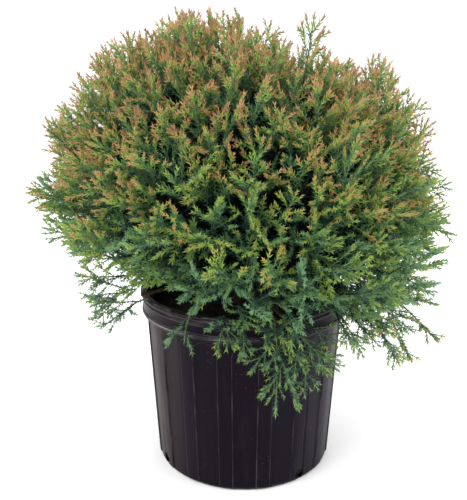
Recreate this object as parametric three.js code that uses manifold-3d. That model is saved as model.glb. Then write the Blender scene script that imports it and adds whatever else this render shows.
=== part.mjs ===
// A globe conifer (heather-leaved arborvitae) growing in a fluted nursery pot.
// Millimetres, +Z up. The origin is the centre of the pot's flat underside, and -Y is the front.
import * as THREE from "three";
import { mergeVertices } from "three/addons/utils/BufferGeometryUtils.js";
import Module from "manifold-3d";

const wasm = await Module();
wasm.setup();
const { Manifold, Mesh: SolidMesh } = wasm;

// ---------------------------------------------------------------- driving dimensions

const GAP = 0.3; // between pieces that meet
const POT = {
  height: 240,
  lipRadius: 140,
  lipWidth: 8.5,
  lipDepth: 7,
  lipEdge: 2, // the small slopes on the lip's upper and lower edges
  bandRadius: 137,
  beadRadius: 138.5,
  beadZ: 214,
  beadHalf: 2.5,
  wallTopRadius: 132.5,
  wallTopZ: 207,
  baseRadius: 120.5,
  baseEdge: 4,
  wall: 2.6,
  segments: 48,
};
const FLUTE = { count: 16, widthDeg: 14.2, topZ: 204, depth: 1.3, archSteps: 3 };
// Drain holes: the bearings of two in front, each with another opposite.
const DRAIN = { bearings: [36.5, -60.5], radius: 7.6, z: 9.4, sides: 12 };
const SOIL = { topZ: 214, mound: 5, shoulder: 0.6, crest: 0.2, segments: 24 };
const TRUNK = { baseRadius: 11, tipRadius: 4, flare: 5, flareHeight: 14, leanX: -6, leanY: 5, sides: 9, steps: 7 };
const TRUNK_BENDS = { lower: 0.35, upper: 0.7 }; // shares of its height where the trunk is steered
const CROWN = {
  heart: new THREE.Vector3(7, 0, 345),
  radius: 272, // heart to the side tips
  up: 250, // heart to the top tips
  down: 150,
  squareness: 2.15, // 2 is an ellipsoid, more is boxier
  skew: 0.12, // the crown is fuller at the upper -X side and at the lower +X side
  floorZ: 254, // the crown's masses keep above this and the skirt's below it
};
const CORE = { outer: 0.76, rough: 0.18, columns: 17, rows: 10 };
const HOLLOW = { radius: 156, up: 138, down: 420, columns: 10, rows: 7 };
const UPPER_RING = { count: 5, elevationDeg: 45, turnDeg: 20 };
const MIDDLE_RING = { count: 7, elevationDeg: 2, turnDeg: 0 };
const BETWEEN_MASSES = 1.2;
const BOUGH = { rootRadius: 4.2, tipRadius: 2.6, sides: 4, steps: 3, meets: 16, rise: 30, bend: 0.35 };
// A crown mass's own stem: its length as a share of the crown's reach, and where along it the twigs leave.
const STEM = { reach: 0.7, twigsLeaveAt: 0.75 };
const LEAVES_TRUNK = { skirt: 222, middle: 272, upper: 330, step: 5.5 }; // heights where boughs leave the trunk
// One spray is a flat blade. Its side shoots stand out as teeth, on alternate sides.
const SPRAY = {
  length: 98,
  width: 50,
  thickness: 3.4,
  rib: 3.8,
  sideShoots: 3,
  first: 0.32,
  step: 0.18,
  shootBase: 0.1,
  reachesAhead: 0.25,
};
const CROWN_SPRAYS = {
  count: 108,
  lowestSine: -0.34,
  shortest: 0.93, // share of the crown's reach
  straggler: 0.05,
  stragglerOdds: 0.16,
  upward: 0.42,
  sideways: 0.6,
  tries: 14,
  inwards: 0.035, // how much nearer to the mass's middle each new try is
  seed: 11,
};
const TWIG = { rootRadius: 1.5, tipRadius: 0.9, length: 14, sunk: 6 };
// The skirt's masses hang over the rim: the bearing of each from the front, how far out it reaches and how low.
const SKIRT = [
  { bearingDeg: -104, reach: 236, low: 216 },
  { bearingDeg: -63, reach: 212, low: 212 },
  { bearingDeg: -25, reach: 180, low: 184 },
  { bearingDeg: 16, reach: 188, low: 130 },
  { bearingDeg: 60, reach: 244, low: 158 },
  { bearingDeg: 104, reach: 266, low: 164 },
  { bearingDeg: 154, reach: 230, low: 184 },
  { bearingDeg: -152, reach: 232, low: 196 },
];
const SKIRT_MASS = { startRadius: 147, startZ: 247, twigs: 6, scale: 0.76, potGap: 3, beyond: 12, tries: 9, seed: 101 };

const COLOURS = { pot: 0x2a2427, soil: 0x241a14, bark: 0x6b4a35, foliage: 0x4f6b35 };

// ---------------------------------------------------------------- small helpers

const radians = THREE.MathUtils.degToRad;
const vec = (x, y, z) => new THREE.Vector3(x, y, z);
const UP = vec(0, 0, 1);

// The same short rule gives the same numbers in any language.
function seededRandom(seed) {
  let state = seed >>> 0;
  return () => {
    state = (Math.imul(state, 1664525) + 1013904223) >>> 0;
    return state / 4294967296;
  };
}

// A level direction at a bearing from the front, turning towards +X.
function bearing(degrees) {
  return vec(Math.sin(radians(degrees)), -Math.cos(radians(degrees)), 0);
}

function outwards(bearingDeg, elevationDeg) {
  const level = bearing(bearingDeg).multiplyScalar(Math.cos(radians(elevationDeg)));
  return level.setZ(Math.sin(radians(elevationDeg)));
}

// A direction square to the given one, turned about it by an angle.
function squareTo(direction, turn = 0) {
  const guide = Math.abs(direction.z) < 0.9 ? UP : vec(1, 0, 0);
  return guide.clone().cross(direction).normalize().applyAxisAngle(direction, turn);
}

function solidFrom(positions, faces) {
  return new Manifold(
    new SolidMesh({
      numProp: 3,
      vertProperties: new Float32Array(positions.flatMap((p) => [p.x, p.y, p.z])),
      triVerts: new Uint32Array(faces.flat()),
    }),
  );
}

function solidFromGeometry(geometry) {
  const plain = new THREE.BufferGeometry().setAttribute("position", geometry.getAttribute("position"));
  if (geometry.index) plain.setIndex(geometry.index);
  const merged = mergeVertices(plain, 1e-4);
  return new Manifold(
    new SolidMesh({
      numProp: 3,
      vertProperties: new Float32Array(merged.attributes.position.array),
      triVerts: new Uint32Array(merged.index.array),
    }),
  );
}

// A profile of [radius, height] points, turned about the vertical axis.
function turned(profile, segments) {
  const points = profile.map(([r, z]) => new THREE.Vector2(r, z));
  const geometry = new THREE.LatheGeometry(points, segments).rotateX(Math.PI / 2);
  return solidFromGeometry(geometry);
}

// A tapering limb along a curve: rings of a few sides, closed at both ends.
function limb(curve, radiusAt, sides, steps) {
  const positions = [];
  const faces = [];
  const frames = curve.computeFrenetFrames(steps, false);
  for (let i = 0; i <= steps; i++) {
    const centre = curve.getPointAt(i / steps);
    for (let k = 0; k < sides; k++) {
      const angle = (2 * Math.PI * k) / sides;
      const out = frames.normals[i]
        .clone()
        .multiplyScalar(Math.cos(angle))
        .addScaledVector(frames.binormals[i], Math.sin(angle));
      positions.push(centre.clone().addScaledVector(out, radiusAt(i / steps)));
    }
  }
  const ring = (i, k) => i * sides + (k % sides);
  for (let i = 0; i < steps; i++)
    for (let k = 0; k < sides; k++) {
      faces.push([ring(i, k), ring(i, k + 1), ring(i + 1, k)]);
      faces.push([ring(i, k + 1), ring(i + 1, k + 1), ring(i + 1, k)]);
    }
  for (let k = 1; k < sides - 1; k++) {
    faces.push([ring(0, 0), ring(0, k + 1), ring(0, k)]);
    faces.push([ring(steps, 0), ring(steps, k), ring(steps, k + 1)]);
  }
  return solidFrom(positions, faces);
}

const taper = (from, to) => (t) => from + (to - from) * t;

// The outline of a spray: from its root up one side, shoot by shoot, to the tip and down the other side.
function sprayOutline() {
  const { length, width, rib, sideShoots, first, step, shootBase, reachesAhead } = SPRAY;
  const sides = [[[rib / 2, 0]], [[rib / 2, 0]]];
  for (let k = 0; k < sideShoots; k++) {
    const foot = first + step * k;
    const tipAt = Math.min(foot + reachesAhead, 0.97);
    const outAt = (width / 2) * (1 - 0.16 * k);
    sides[k % 2].push([rib / 2, foot * length], [outAt, tipAt * length], [rib / 2, (foot + shootBase) * length]);
  }
  const outline = new THREE.Shape();
  outline.moveTo(...sides[0][0]);
  for (const [x, y] of sides[0].slice(1)) outline.lineTo(x, y);
  outline.lineTo(0, length);
  for (const [x, y] of sides[1].reverse()) outline.lineTo(-x, y);
  outline.closePath();
  return outline;
}

const sprayPattern = new THREE.ExtrudeGeometry(sprayOutline(), { depth: SPRAY.thickness, bevelEnabled: false });
sprayPattern.translate(0, 0, -SPRAY.thickness / 2);

// A spray that stands at its root, points along a direction and lies flat against a broad direction.
function placedSpray(root, direction, broad, scale = 1) {
  const across = broad.clone().addScaledVector(direction, -broad.dot(direction)).normalize();
  const through = across.clone().cross(direction);
  const matrix = new THREE.Matrix4().makeBasis(across, direction, through);
  return sprayPattern.clone().applyMatrix4(matrix.scale(vec(scale, scale, scale)).setPosition(root));
}

function everyCorner(geometry, test) {
  const place = geometry.getAttribute("position");
  const corner = vec(0, 0, 0);
  for (let i = 0; i < place.count; i++) if (!test(corner.fromBufferAttribute(place, i))) return false;
  return true;
}

function twig(from, to) {
  return limb(new THREE.LineCurve3(from, to), taper(TWIG.rootRadius, TWIG.tipRadius), 3, 1);
}

function asMesh(name, solid, colour, roughness = 0.9) {
  const made = solid.getMesh();
  const geometry = new THREE.BufferGeometry()
    .setAttribute("position", new THREE.BufferAttribute(new Float32Array(made.vertProperties), 3))
    .setIndex(new THREE.BufferAttribute(new Uint32Array(made.triVerts), 1));
  geometry.computeVertexNormals();
  const mesh = new THREE.Mesh(geometry, new THREE.MeshStandardMaterial({ color: colour, roughness, metalness: 0 }));
  mesh.name = name;
  return mesh;
}

// The largest body of a solid, without the scraps that a cut leaves.
function largestBody(solid) {
  return solid.decompose().sort((a, b) => b.volume() - a.volume())[0];
}

// ---------------------------------------------------------------- the pot and its soil

function wallRadiusAt(z) {
  return THREE.MathUtils.mapLinear(z, 0, POT.wallTopZ, POT.baseRadius, POT.wallTopRadius);
}

function potShell() {
  const { height, lipRadius, lipWidth, lipDepth, lipEdge, bandRadius, wallTopZ, wall } = POT;
  const { beadRadius, beadZ, beadHalf } = POT;
  const lipUnder = height - lipDepth;
  const innerBase = wallRadiusAt(0) - wall;
  const outside = [
    [0, 0],
    [POT.baseRadius - POT.baseEdge, 0],
    [wallRadiusAt(POT.baseEdge), POT.baseEdge],
    [POT.wallTopRadius, wallTopZ],
    [bandRadius, beadZ - 2 * beadHalf],
    [beadRadius, beadZ - beadHalf],
    [beadRadius, beadZ + beadHalf],
    [bandRadius, beadZ + 2 * beadHalf],
    [bandRadius, lipUnder],
    [lipRadius, lipUnder + lipEdge],
    [lipRadius, height - lipEdge],
    [lipRadius - lipEdge, height],
  ];
  const inside = [
    [lipRadius - lipWidth, height],
    [lipRadius - lipWidth, lipUnder],
    [POT.wallTopRadius - wall, wallTopZ],
    [innerBase, wall],
    [0, wall],
  ];
  return turned([...outside, ...inside], POT.segments);
}

// The space of one recessed panel with an arched head, from the pot's axis outwards.
function fluteArch(turnDeg) {
  const half = POT.wallTopRadius * Math.sin(radians(FLUTE.widthDeg / 2));
  const foot = (half * POT.baseRadius) / POT.wallTopRadius;
  const below = -2;
  const outline = new THREE.Shape();
  outline.moveTo(-foot, below);
  outline.lineTo(foot, below);
  outline.lineTo(half, FLUTE.topZ - half);
  outline.absarc(0, FLUTE.topZ - half, half, 0, Math.PI);
  outline.closePath();
  const geometry = new THREE.ExtrudeGeometry(outline, {
    depth: POT.lipRadius,
    bevelEnabled: false,
    curveSegments: FLUTE.archSteps,
  });
  return solidFromGeometry(geometry.rotateX(Math.PI / 2).rotateZ(radians(turnDeg)));
}

function drainHole(turnDeg) {
  const { radius, z, sides } = DRAIN;
  const geometry = new THREE.CylinderGeometry(radius, radius, 4 * POT.baseEdge, sides);
  return solidFromGeometry(geometry.translate(0, -POT.baseRadius, z).rotateZ(radians(turnDeg)));
}

function pot() {
  const deep = (z) => wallRadiusAt(z) - FLUTE.depth;
  const beyond = POT.lipRadius + 5;
  const skin = turned(
    [
      [deep(0), -3],
      [beyond, -3],
      [beyond, POT.wallTopZ],
      [deep(POT.wallTopZ), POT.wallTopZ],
      [deep(0), -3],
    ],
    POT.segments,
  );
  const arches = Array.from({ length: FLUTE.count }, (_, i) => fluteArch((360 * i) / FLUTE.count));
  const holes = DRAIN.bearings.flatMap((turn) => [drainHole(turn), drainHole(turn + 180)]);
  const panels = skin.intersect(Manifold.union(arches));
  return largestBody(potShell().subtract(panels).subtract(Manifold.union(holes)));
}

function soil() {
  const inner = (z) => wallRadiusAt(z) - POT.wall - GAP;
  const floor = POT.wall + GAP;
  const edgeZ = SOIL.topZ - SOIL.mound;
  return turned(
    [
      [0, floor],
      [inner(0) - POT.baseEdge - 1, floor],
      [inner(0), POT.baseEdge + POT.wall + 1],
      [inner(edgeZ), edgeZ],
      [inner(edgeZ) * SOIL.shoulder, SOIL.topZ - 1],
      [inner(edgeZ) * SOIL.crest, SOIL.topZ],
      [0, SOIL.topZ],
    ],
    SOIL.segments,
  );
}

// ---------------------------------------------------------------- the crown's shape

// How far the crown reaches from its heart in a direction.
function crownReach(direction) {
  const { radius, up, down, squareness, skew } = CROWN;
  const level = Math.hypot(direction.x, direction.y) / radius;
  const steep = Math.abs(direction.z) / (direction.z > 0 ? up : down);
  const even = (level ** squareness + steep ** squareness) ** (-1 / squareness);
  return even * (1 - skew * direction.x * direction.z);
}

function crownPoint(direction, share = 1) {
  return CROWN.heart.clone().addScaledVector(direction, crownReach(direction) * share);
}

// The bare space round the trunk, where only boughs run.
function hollowReach(direction) {
  const level = Math.hypot(direction.x, direction.y) / HOLLOW.radius;
  const steep = direction.z / (direction.z > 0 ? HOLLOW.up : HOLLOW.down);
  return 1 / Math.hypot(level, steep);
}

// A closed globe whose distance from the heart is a function of direction.
function globe(reachOf, { columns, rows }) {
  const sphere = new THREE.SphereGeometry(1, columns, rows).rotateX(Math.PI / 2);
  sphere.deleteAttribute("normal");
  sphere.deleteAttribute("uv");
  const geometry = mergeVertices(sphere);
  const place = geometry.getAttribute("position");
  for (let i = 0; i < place.count; i++) {
    const direction = vec(0, 0, 0).fromBufferAttribute(place, i).normalize();
    const point = CROWN.heart.clone().addScaledVector(direction, reachOf(direction));
    place.setXYZ(i, point.x, point.y, point.z);
  }
  return solidFromGeometry(geometry);
}

function ringOfMasses(ring, { count, elevationDeg, turnDeg }) {
  return Array.from({ length: count }, (_, i) => ({
    name: `${ring}_${i + 1}`,
    direction: outwards(turnDeg + (360 * i) / count, elevationDeg),
    ring,
    index: i,
    of: count,
  }));
}

const crownMasses = [
  { name: "top", direction: UP.clone() },
  ...ringOfMasses("upper", UPPER_RING),
  ...ringOfMasses("middle", MIDDLE_RING),
];

function nearestMass(direction) {
  return crownMasses.reduce((a, b) => (b.direction.dot(direction) > a.direction.dot(direction) ? b : a));
}

// ---------------------------------------------------------------- trunk and boughs

const trunkTop = CROWN.heart.z + HOLLOW.up - BOUGH.meets;
const trunkFoot = SOIL.topZ + GAP;
const trunkCurve = new THREE.CubicBezierCurve3(
  vec(0, 0, trunkFoot),
  vec(0, TRUNK.leanY, THREE.MathUtils.lerp(trunkFoot, trunkTop, TRUNK_BENDS.lower)),
  vec(TRUNK.leanX, 0, THREE.MathUtils.lerp(trunkFoot, trunkTop, TRUNK_BENDS.upper)),
  vec(0, 0, trunkTop),
);

function trunkRadiusAt(t) {
  const flare = TRUNK.flare * Math.exp((-t * (trunkTop - trunkFoot)) / TRUNK.flareHeight);
  return taper(TRUNK.baseRadius, TRUNK.tipRadius)(t) + flare;
}

function trunkSolid(extra = 0) {
  const body = limb(trunkCurve, (t) => trunkRadiusAt(t) + extra, TRUNK.sides, TRUNK.steps);
  return body.trimByPlane([0, 0, 1], trunkFoot);
}

function trunkPointAt(z) {
  return trunkCurve.getPointAt(THREE.MathUtils.clamp((z - trunkFoot) / (trunkTop - trunkFoot), 0, 1));
}

// A bough rises out of the trunk at a height, bends, and ends pointing the way that its mass begins.
function boughCurve(leavesTrunkZ, end, heading) {
  const start = trunkPointAt(leavesTrunkZ);
  const reach = end.distanceTo(start);
  const lifted = start.clone().lerp(end, BOUGH.bend).setZ(start.z + BOUGH.rise);
  const before = end.clone().addScaledVector(heading, -BOUGH.bend * reach);
  return new THREE.CubicBezierCurve3(start, lifted, before, end);
}

// ---------------------------------------------------------------- the crown's foliage

// Every mass of the crown keeps to the part of space that lies nearest to its own direction from the heart.
function cellWalls(mass) {
  return crownMasses
    .filter((other) => other !== mass)
    .map((other) => mass.direction.clone().sub(other.direction).normalize());
}

function inCell(mass, point) {
  const fromHeart = point.clone().sub(CROWN.heart);
  const clear = BETWEEN_MASSES / 2;
  return point.z > CROWN.floorZ + clear && mass.walls.every((wall) => fromHeart.dot(wall) > clear);
}

const roughness = seededRandom(CROWN_SPRAYS.seed + 1);
const coreSkin = globe((way) => crownReach(way) * (CORE.outer + CORE.rough * (roughness() - 0.5)), CORE);
const coreShell = coreSkin.subtract(globe(hollowReach, HOLLOW));

function massCore(mass) {
  const clear = BETWEEN_MASSES / 2;
  const cut = (solid, wall) => solid.trimByPlane(wall.toArray(), CROWN.heart.dot(wall) + clear);
  return largestBody(mass.walls.reduce(cut, coreShell.trimByPlane([0, 0, 1], CROWN.floorZ + clear)));
}

// Directions spread evenly over the crown, one for each spray, turning by the golden angle.
function crownDirections({ count, lowestSine }) {
  const golden = Math.PI * (3 - Math.sqrt(5));
  return Array.from({ length: count }, (_, i) => {
    const height = 1 - ((i + 0.5) / count) * (1 - lowestSine);
    const level = Math.sqrt(1 - height * height);
    return vec(level * Math.sin(golden * i), -level * Math.cos(golden * i), height);
  });
}

// One twig from the stem with a spray at its end. A spray that would leave its cell is tried again,
// turned and nearer to the mass's middle, and is skipped if it never fits.
function crownShoot(mass, wanted, random) {
  const { shortest, straggler, stragglerOdds, upward, sideways, tries, inwards } = CROWN_SPRAYS;
  const share = shortest + (1 - shortest) * random() + (random() < stragglerOdds ? straggler : 0);
  for (let k = 0; k < tries; k++) {
    const direction = wanted.clone().lerp(mass.direction, inwards * k).normalize();
    const aside = squareTo(direction, 2 * Math.PI * random()).multiplyScalar(sideways * random());
    const way = direction.clone().addScaledVector(UP, upward).add(aside).normalize();
    const root = crownPoint(direction, share).addScaledVector(way, -SPRAY.length);
    const spray = placedSpray(root, way, squareTo(way, Math.PI * random()));
    if (!everyCorner(spray, (corner) => inCell(mass, corner))) continue;
    const twigFoot = mass.stem.getPointAt(STEM.twigsLeaveAt);
    return [twig(twigFoot, root.addScaledVector(way, TWIG.sunk)), solidFromGeometry(spray)];
  }
  return [];
}

for (const mass of crownMasses) {
  mass.walls = cellWalls(mass);
  const innerWall = CROWN.heart.clone().addScaledVector(mass.direction, hollowReach(mass.direction));
  mass.boughEnd = innerWall.clone().addScaledVector(mass.direction, -BOUGH.meets);
  const stemFoot = mass.boughEnd.clone().addScaledVector(mass.direction, GAP);
  mass.stem = new THREE.LineCurve3(stemFoot, crownPoint(mass.direction, STEM.reach));
  mass.shoots = [];
}

function growCrown() {
  const random = seededRandom(CROWN_SPRAYS.seed);
  for (const wanted of crownDirections(CROWN_SPRAYS)) {
    const mass = nearestMass(wanted);
    mass.shoots.push(...crownShoot(mass, wanted, random));
  }
}

function crownMassSolid(mass) {
  const stem = limb(mass.stem, taper(BOUGH.tipRadius, TWIG.rootRadius), BOUGH.sides, 1);
  return largestBody(Manifold.union([massCore(mass), stem, ...mass.shoots]));
}

// ---------------------------------------------------------------- the skirt's foliage

// The hanging stem leaves over the rim, runs outwards and bends down.
function skirtCurve({ bearingDeg, reach, low }) {
  const { startRadius, startZ } = SKIRT_MASS;
  const at = (radius, z) => bearing(bearingDeg).multiplyScalar(radius).setZ(z);
  const drop = startZ - low;
  return new THREE.CubicBezierCurve3(
    at(startRadius, startZ),
    at(startRadius + 0.35 * (reach - startRadius), startZ),
    at(reach * 0.86, startZ - 0.12 * drop),
    at(reach * 0.93, startZ - 0.62 * drop),
  );
}

// A skirt mass keeps to its own sector, under the crown and outside the pot.
function inSector(entry, point) {
  const own = bearing(entry.bearingDeg);
  const radius = Math.hypot(point.x, point.y);
  const clearOfPot = radius > POT.lipRadius + SKIRT_MASS.potGap || point.z > POT.height + SKIRT_MASS.potGap;
  const clear = BETWEEN_MASSES / 2;
  const inOwnSector = SKIRT.every((other) => {
    const wall = own.clone().sub(bearing(other.bearingDeg));
    return other === entry || point.dot(wall.normalize()) > clear;
  });
  const inDepth = point.z < CROWN.floorZ - clear && point.z > entry.low;
  return clearOfPot && inDepth && inOwnSector && radius < entry.reach + SKIRT_MASS.beyond;
}

// Twigs leave the hanging stem on alternate sides, each with a spray, and the last one ends it.
// A spray that would leave the sector is tried again, smaller and nearer to the stem.
function skirtMassSolid(entry, index) {
  const random = seededRandom(SKIRT_MASS.seed + index);
  const curve = skirtCurve(entry);
  const pieces = [limb(curve, taper(BOUGH.tipRadius, TWIG.tipRadius), 4, 4)];
  const sideways = bearing(entry.bearingDeg + 90);
  const { twigs, scale, tries } = SKIRT_MASS;
  for (let k = 0; k < twigs; k++) {
    const share = (0.98 * (k + 1)) / twigs;
    const foot = curve.getPointAt(share);
    const ahead = curve.getTangentAt(share);
    const side = k === twigs - 1 ? 0 : (k % 2 ? 1 : -1) * (0.8 + 0.5 * random());
    const droop = 0.5 * random();
    const twist = 0.9 * (random() - 0.5);
    for (let attempt = 0; attempt < tries; attempt++) {
      const smaller = 1 - 0.07 * attempt;
      const way = ahead.clone().addScaledVector(sideways, side * smaller).addScaledVector(UP, -droop);
      way.normalize();
      const root = foot.clone().addScaledVector(way, TWIG.length * smaller);
      const broad = sideways.clone().applyAxisAngle(way, twist * smaller);
      const spray = placedSpray(root, way, broad, scale * smaller);
      if (!everyCorner(spray, (corner) => inSector(entry, corner))) continue;
      pieces.push(twig(foot, root.addScaledVector(way, TWIG.sunk)), solidFromGeometry(spray));
      break;
    }
  }
  return largestBody(Manifold.union(pieces));
}

// ---------------------------------------------------------------- the whole plant

const plant = new THREE.Group();
plant.name = "potted_conifer";
plant.add(asMesh("pot", pot(), COLOURS.pot, 0.45));
plant.add(asMesh("soil", soil(), COLOURS.soil));
plant.add(asMesh("trunk", trunkSolid(), COLOURS.bark));

const trunkRoom = trunkSolid(GAP);
function addBough(name, curve) {
  const body = limb(curve, taper(BOUGH.rootRadius, BOUGH.tipRadius), BOUGH.sides, BOUGH.steps);
  plant.add(asMesh(name, largestBody(body.subtract(trunkRoom)), COLOURS.bark));
}

// Boughs leave the trunk one above the other, the next one on another side.
function leavesTrunkAt(ring, index, count) {
  return LEAVES_TRUNK[ring] + LEAVES_TRUNK.step * ((index * 3) % count);
}

growCrown();
for (const mass of crownMasses) {
  plant.add(asMesh(`foliage_${mass.name}`, crownMassSolid(mass), COLOURS.foliage));
  if (mass.ring) {
    const height = leavesTrunkAt(mass.ring, mass.index, mass.of);
    addBough(`bough_${mass.name}`, boughCurve(height, mass.boughEnd, mass.direction));
  }
}

SKIRT.forEach((entry, i) => {
  const curve = skirtCurve(entry);
  plant.add(asMesh(`foliage_skirt_${i + 1}`, skirtMassSolid(entry, i), COLOURS.foliage));
  const heading = curve.getTangentAt(0);
  const end = curve.getPointAt(0).addScaledVector(heading, -GAP);
  addBough(`bough_skirt_${i + 1}`, boughCurve(leavesTrunkAt("skirt", i, SKIRT.length), end, heading));
});

export default plant;
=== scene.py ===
# %% [markdown]
# # A globe conifer in a fluted nursery pot
#
# This lesson dresses a measured model of a potted dwarf conifer. The model says where every piece is
# and how big it is. What is left for Blender is what the eye enjoys: moulded plastic with scuffs along
# its rim, crumbly potting mix, stringy bark, and hundreds of thousands of small needles.
#
# The first cell loads the model. Everything made later has to stay close to that box.

import math

import bpy
import numpy as np
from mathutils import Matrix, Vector


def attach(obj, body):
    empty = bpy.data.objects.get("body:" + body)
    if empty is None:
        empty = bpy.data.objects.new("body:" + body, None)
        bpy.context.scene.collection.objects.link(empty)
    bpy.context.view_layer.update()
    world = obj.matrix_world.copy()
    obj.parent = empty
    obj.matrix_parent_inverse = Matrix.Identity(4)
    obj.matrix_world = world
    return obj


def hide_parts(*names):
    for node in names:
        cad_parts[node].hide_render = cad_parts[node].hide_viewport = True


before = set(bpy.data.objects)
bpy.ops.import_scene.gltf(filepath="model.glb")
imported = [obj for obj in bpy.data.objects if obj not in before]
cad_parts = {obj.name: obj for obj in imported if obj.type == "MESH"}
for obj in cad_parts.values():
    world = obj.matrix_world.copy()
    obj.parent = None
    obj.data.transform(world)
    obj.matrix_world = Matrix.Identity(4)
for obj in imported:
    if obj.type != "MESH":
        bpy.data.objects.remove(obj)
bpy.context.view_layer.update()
MM = 0.001

# %% [markdown]
# ## Camera
#
# The plant is looked at from a little above, so that the lip of the pot shows as a flat oval. A camera
# is placed by three facts: where it stands, how far it tips down, and how long its lens is.

# %% Camera
CAMERA_PLACE = (-0.01415, -0.837, 0.5034)
CAMERA_DOWN = 0.2519
CAMERA_LENS = 46.09

bpy.ops.object.camera_add(location=CAMERA_PLACE, rotation=(math.pi / 2 - CAMERA_DOWN, 0, 0))
camera = bpy.context.object
camera.name = "studio_camera"
camera.data.lens = CAMERA_LENS
camera.data.sensor_width = 36
bpy.context.scene.camera = camera
print("camera tips down by", round(math.degrees(CAMERA_DOWN), 1), "degrees")

# %% [markdown]
# ## Light and floor
#
# Dark plastic shows nothing but what it reflects, so broad lamps matter more than bright ones. One
# large lamp stands high on the left, a weaker one on the right, and the pale world fills the rest.
# The floor is a wide pale disc that runs out to where the world begins.

# %% Light and floor
def add_lamp(name, place, aim, size, watts):
    bpy.ops.object.light_add(type="AREA", location=place)
    lamp = bpy.context.object
    lamp.name = name
    lamp.rotation_euler = (Vector(aim) - Vector(place)).to_track_quat("-Z", "Y").to_euler()
    lamp.data.shape = "RECTANGLE"
    lamp.data.size, lamp.data.size_y = size
    lamp.data.energy = watts


add_lamp("key_lamp", (-1.5, -1.5, 2.3), (0, 0, 0.35), (1.6, 1.6), 38)
add_lamp("side_lamp", (2.2, -0.7, 1.2), (0, 0, 0.25), (1.2, 1.8), 19)
add_lamp("back_lamp", (0.6, 2.2, 1.8), (0, 0, 0.3), (1.8, 1.2), 16)

WORLD_STRENGTH = 1.0
world = bpy.data.worlds.new("pale_studio")
bpy.context.scene.world = world
world.use_nodes = True
background = world.node_tree.nodes["Background"].inputs
background["Color"].default_value = (1, 1, 1, 1)
background["Strength"].default_value = WORLD_STRENGTH
bpy.context.scene.view_settings.view_transform = "Standard"
bpy.context.scene.view_settings.look = "Medium High Contrast"

FLOOR_RADIUS = 14
bpy.ops.mesh.primitive_circle_add(vertices=96, radius=FLOOR_RADIUS, fill_type="NGON")
floor = bpy.context.object
floor.name = "studio_floor"
print("floor reaches", FLOOR_RADIUS, "m")

# %% [markdown]
# ## Writing shader maths as sums
#
# A material is a net of nodes, which is hard to read as a list of links. So a small class wraps an
# output socket and lets plain Python signs add the Math nodes. A second class is the material itself,
# with a method for each kind of node that comes back often.

# %% Two small helpers for materials
class Wire:
    """An output socket that understands sums."""

    def __init__(self, recipe, socket):
        self.recipe, self.socket = recipe, socket

    def _sum(self, operation, first, second):
        return self.recipe.node("ShaderNodeMath", 0, {0: first, 1: second}, operation=operation)

    def __add__(self, other):
        return self._sum("ADD", self, other)

    def __rsub__(self, other):
        return self._sum("SUBTRACT", other, self)

    def __mul__(self, other):
        return self._sum("MULTIPLY", self, other)

    __radd__, __rmul__ = __add__, __mul__


class Recipe:
    """A material with one Principled shader, built node by node."""

    def __init__(self, name, color, roughness, **fixed):
        self.material = bpy.data.materials.new(name)
        self.material.use_nodes = True
        self.tree = self.material.node_tree
        self.shader = self.tree.nodes["Principled BSDF"]
        self.set("Base Color", (*color, 1))
        self.set("Roughness", roughness)
        for socket, value in fixed.items():
            self.set(socket.replace("_", " "), value)

    def set(self, socket, value):
        self.plug(self.shader.inputs[socket], value)

    def plug(self, socket, value):
        if isinstance(value, Wire):
            self.tree.links.new(value.socket, socket)
        else:
            socket.default_value = value

    def node(self, kind, output, sockets=(), **settings):
        """Add a node, set it up, and give back one of its outputs."""
        node = self.tree.nodes.new(kind)
        for name, value in settings.items():
            setattr(node, name, value)
        for name, value in dict(sockets).items():
            self.plug(node.inputs[name], value)
        return Wire(self, node.outputs[output])

    def place(self):
        return self.node("ShaderNodeTexCoord", "Object")

    def axis(self, name):
        return self.node("ShaderNodeSeparateXYZ", name, {"Vector": self.place()})

    def noise(self, vector, scale, detail, roughness=0.55):
        sockets = {"Vector": vector, "Scale": scale, "Detail": detail, "Roughness": roughness}
        return self.node("ShaderNodeTexNoise", "Fac", sockets)

    def step(self, value, low, high):
        """0 below low, 1 above high, and a smooth rise between."""
        sockets = {"Value": value, "From Min": low, "From Max": high}
        return self.node("ShaderNodeMapRange", "Result", sockets, interpolation_type="SMOOTHSTEP")

    def mix(self, share, first, second):
        first = first if isinstance(first, Wire) else (*first, 1)
        return self.node("ShaderNodeMix", 2, {0: share, 6: first, 7: (*second, 1)}, data_type="RGBA")

    def stretched(self, vector, scale):
        return self.node("ShaderNodeVectorMath", 0, {0: vector, 1: scale}, operation="MULTIPLY")

    def bump(self, height, depth):
        sockets = {"Height": height, "Distance": depth, "Strength": 1.0}
        self.set("Normal", self.node("ShaderNodeBump", "Normal", sockets))


def dress(piece, material):
    piece.data.materials.clear()
    piece.data.materials.append(material)


dress(floor, Recipe("pale_floor", (0.98, 0.98, 0.98), 0.9, Specular_IOR_Level=0.0).material)
print("the floor's material:", floor.data.materials[0].name)

# %% [markdown]
# ## Modelling by hand, in millimetres
#
# A pot is measured in millimetres, and Blender counts in metres. The same few steps come back for every
# piece: select it, name it, apply what was done to it. As helpers they keep the later cells short.

# %% Helpers for modelling by hand
def select_only(piece):
    bpy.ops.object.select_all(action="DESELECT")
    piece.select_set(True)
    bpy.context.view_layer.objects.active = piece


def apply_transform():
    bpy.ops.object.transform_apply(location=True, rotation=True, scale=True)


def named(name):
    piece = bpy.context.object
    piece.name = piece.data.name = name
    return piece


def apply_modifier(piece, kind, **settings):
    modifier = piece.modifiers.new(kind.lower(), kind)
    for name, value in settings.items():
        setattr(modifier, name, value)
    bpy.context.view_layer.objects.active = piece
    bpy.ops.object.modifier_apply(modifier=modifier.name)


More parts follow.
